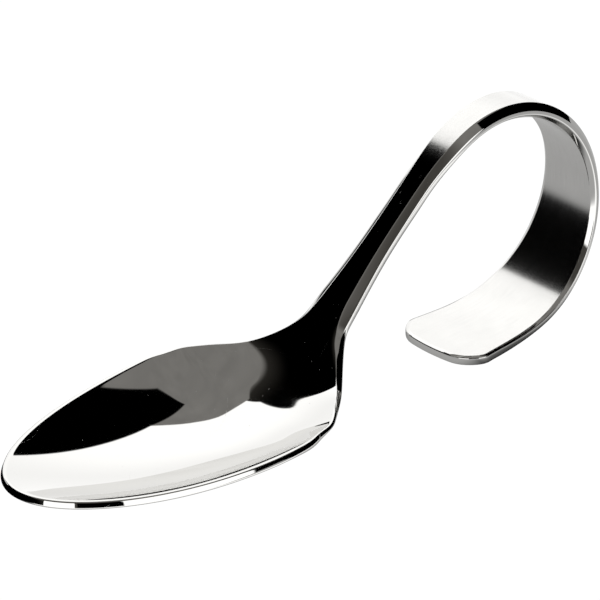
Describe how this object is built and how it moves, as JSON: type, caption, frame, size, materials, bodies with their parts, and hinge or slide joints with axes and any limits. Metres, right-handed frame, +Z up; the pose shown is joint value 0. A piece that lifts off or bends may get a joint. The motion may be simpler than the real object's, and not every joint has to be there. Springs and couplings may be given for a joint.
{
  "type": "amuse-bouche spoon",
  "caption": "Polished steel serving spoon with an egg-shaped bowl and a rising handle bent round into an open loop that ends in a flat foot, so that the bowl stands level.",
  "frame": {"origin": "middle of the overall box, at the level of the table that the bowl and the foot rest on", "axes": "+X from the bowl's tip to the loop, +Y across the strip, +Z up"},
  "size_m": [0.1268, 0.0404, 0.0428],
  "materials": {
    "polished_steel": "mirror polished, with a finely brushed satin sheen on the loop's flats"
  },
  "bodies": {
    "root": {"spoon": "polished_steel"}
  },
  "joints": []
}
